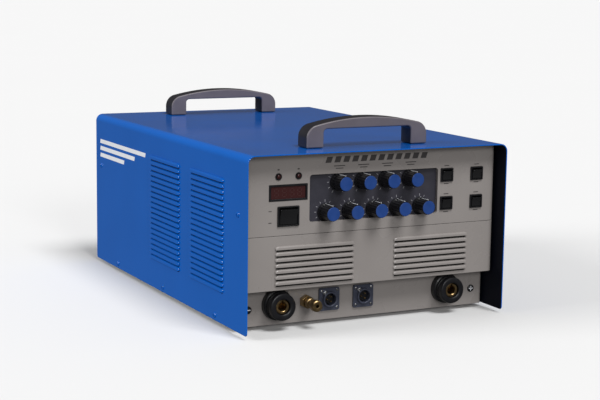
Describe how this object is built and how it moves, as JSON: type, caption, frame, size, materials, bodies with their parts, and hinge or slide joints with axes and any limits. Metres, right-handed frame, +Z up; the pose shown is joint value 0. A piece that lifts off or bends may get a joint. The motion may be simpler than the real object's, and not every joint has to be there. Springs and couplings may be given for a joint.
{
  "type": "tig welding machine",
  "caption": "Portable inverter welder: folded cover with side louvres, recessed front with rotary controls, display, rocker switches and sockets, two carrying handles, rear fan.",
  "frame": {"origin": "on the ground under the middle of the case, halfway between its front and back edges", "axes": "+X to the right seen from the front, +Y from the front with the controls to the back with the fan, +Z up"},
  "size_m": [0.3152, 0.458, 0.2193],
  "materials": {
    "cover_enamel": "smooth blue enamel, semi-gloss",
    "panel_enamel": "warm grey-beige powder coat, satin",
    "zinc_sheet": "zinc-plated sheet",
    "handle_plastic": "warm dark grey moulding, fine grain",
    "plate_grey": "slate-grey printed plate",
    "black_plastic": "black moulding",
    "rocker_gloss": "polished black moulding",
    "smoked_lens": "dark red filter",
    "rubber": "black",
    "brass": "turned, slightly dulled",
    "steel": "bright drawn wire and bar",
    "aluminium": "extruded, plain",
    "circuit_board": "green solder mask",
    "ferrite": "sintered grey",
    "copper_winding": "enamelled copper wire",
    "capacitor_sleeve": "dark shrink sleeve"
  },
  "bodies": {
    "case": {"outer_cover": "cover_enamel", "rear_panel": "cover_enamel", "control_panel": "panel_enamel", "vent_panel": "panel_enamel", "connector_panel": "panel_enamel", "base_tray": "zinc_sheet", "front_handle": "handle_plastic", "rear_handle": "handle_plastic", "foot_front_left": "rubber", "foot_front_right": "rubber", "foot_rear_left": "rubber", "foot_rear_right": "rubber", "knob_plate": "plate_grey", "control_board": "circuit_board", "display_window": "smoked_lens", "lamp_left": "smoked_lens", "lamp_right": "smoked_lens", "power_switch_body": "black_plastic", "mode_switch_body_1": "black_plastic", "mode_switch_body_2": "black_plastic", "mode_switch_body_3": "black_plastic", "mode_switch_body_4": "black_plastic", "negative_socket": "black_plastic", "positive_socket": "black_plastic", "negative_contact": "brass", "positive_contact": "brass", "torch_socket": "black_plastic", "remote_socket": "black_plastic", "gas_outlet": "brass", "gas_inlet": "brass", "gas_hose": "rubber", "gas_valve": "brass", "fan_frame": "black_plastic", "fan_guard": "steel", "mains_gland": "black_plastic", "earth_stud": "brass", "heatsink": "aluminium", "power_board": "circuit_board", "capacitor_1": "capacitor_sleeve", "capacitor_2": "capacitor_sleeve", "transformer_core": "ferrite", "transformer_winding": "copper_winding", "output_choke": "copper_winding", "hf_unit": "black_plastic"},
    "knob_1": {"knob_1": "black_plastic"},
    "knob_2": {"knob_2": "black_plastic"},
    "knob_3": {"knob_3": "black_plastic"},
    "knob_4": {"knob_4": "black_plastic"},
    "knob_5": {"knob_5": "black_plastic"},
    "knob_6": {"knob_6": "black_plastic"},
    "knob_7": {"knob_7": "black_plastic"},
    "knob_8": {"knob_8": "black_plastic"},
    "knob_9": {"knob_9": "black_plastic"},
    "power_rocker": {"power_rocker": "rocker_gloss"},
    "mode_rocker_1": {"mode_rocker_1": "rocker_gloss"},
    "mode_rocker_2": {"mode_rocker_2": "rocker_gloss"},
    "mode_rocker_3": {"mode_rocker_3": "rocker_gloss"},
    "mode_rocker_4": {"mode_rocker_4": "rocker_gloss"},
    "fan_rotor": {"fan_rotor": "black_plastic"},
    "valve_plunger": {"valve_plunger": "steel"}
  },
  "joints": [
    {"name": "knob_1_turn", "type": "hinge", "parent": "case", "child": "knob_1", "pos_m": [-0.0429, -0.209, 0.154], "axis": [0, 1, 0], "range_deg": [-150, 150]},
    {"name": "knob_2_turn", "type": "hinge", "parent": "case", "child": "knob_2", "pos_m": [-0.0143, -0.209, 0.154], "axis": [0, 1, 0], "range_deg": [-150, 150]},
    {"name": "knob_3_turn", "type": "hinge", "parent": "case", "child": "knob_3", "pos_m": [0.0143, -0.209, 0.154], "axis": [0, 1, 0], "range_deg": [-150, 150]},
    {"name": "knob_4_turn", "type": "hinge", "parent": "case", "child": "knob_4", "pos_m": [0.0429, -0.209, 0.154], "axis": [0, 1, 0], "range_deg": [-150, 150]},
    {"name": "knob_5_turn", "type": "hinge", "parent": "case", "child": "knob_5", "pos_m": [-0.0572, -0.209, 0.1235], "axis": [0, 1, 0], "range_deg": [-150, 150]},
    {"name": "knob_6_turn", "type": "hinge", "parent": "case", "child": "knob_6", "pos_m": [-0.0286, -0.209, 0.1235], "axis": [0, 1, 0], "range_deg": [-150, 150]},
    {"name": "knob_7_turn", "type": "hinge", "parent": "case", "child": "knob_7", "pos_m": [0, -0.209, 0.1235], "axis": [0, 1, 0], "range_deg": [-150, 150]},
    {"name": "knob_8_turn", "type": "hinge", "parent": "case", "child": "knob_8", "pos_m": [0.0286, -0.209, 0.1235], "axis": [0, 1, 0], "range_deg": [-150, 150]},
    {"name": "knob_9_turn", "type": "hinge", "parent": "case", "child": "knob_9", "pos_m": [0.0572, -0.209, 0.1235], "axis": [0, 1, 0], "range_deg": [-150, 150]},
    {"name": "power_rocker_tip", "type": "hinge", "parent": "case", "child": "power_rocker", "pos_m": [-0.1017, -0.2116, 0.122], "axis": [1, 0, 0], "range_deg": [-20, 0]},
    {"name": "mode_rocker_1_tip", "type": "hinge", "parent": "case", "child": "mode_rocker_1", "pos_m": [0.08815, -0.2116, 0.1552], "axis": [1, 0, 0], "range_deg": [-20, 0]},
    {"name": "mode_rocker_2_tip", "type": "hinge", "parent": "case", "child": "mode_rocker_2", "pos_m": [0.12615, -0.2116, 0.1552], "axis": [1, 0, 0], "range_deg": [-20, 0]},
    {"name": "mode_rocker_3_tip", "type": "hinge", "parent": "case", "child": "mode_rocker_3", "pos_m": [0.08815, -0.2116, 0.1246], "axis": [1, 0, 0], "range_deg": [-20, 0]},
    {"name": "mode_rocker_4_tip", "type": "hinge", "parent": "case", "child": "mode_rocker_4", "pos_m": [0.12615, -0.2116, 0.1246], "axis": [1, 0, 0], "range_deg": [-20, 0]},
    {"name": "fan_spin", "type": "hinge", "parent": "case", "child": "fan_rotor", "pos_m": [0.04, 0.1937, 0.076], "axis": [0, 1, 0], "continuous": true},
    {"name": "valve_lift", "type": "slide", "parent": "case", "child": "valve_plunger", "axis": [0, 0, 1], "range_m": [0, 0.003], "stiffness_N_per_m": 200, "springref_m": -0.002}
  ]
}
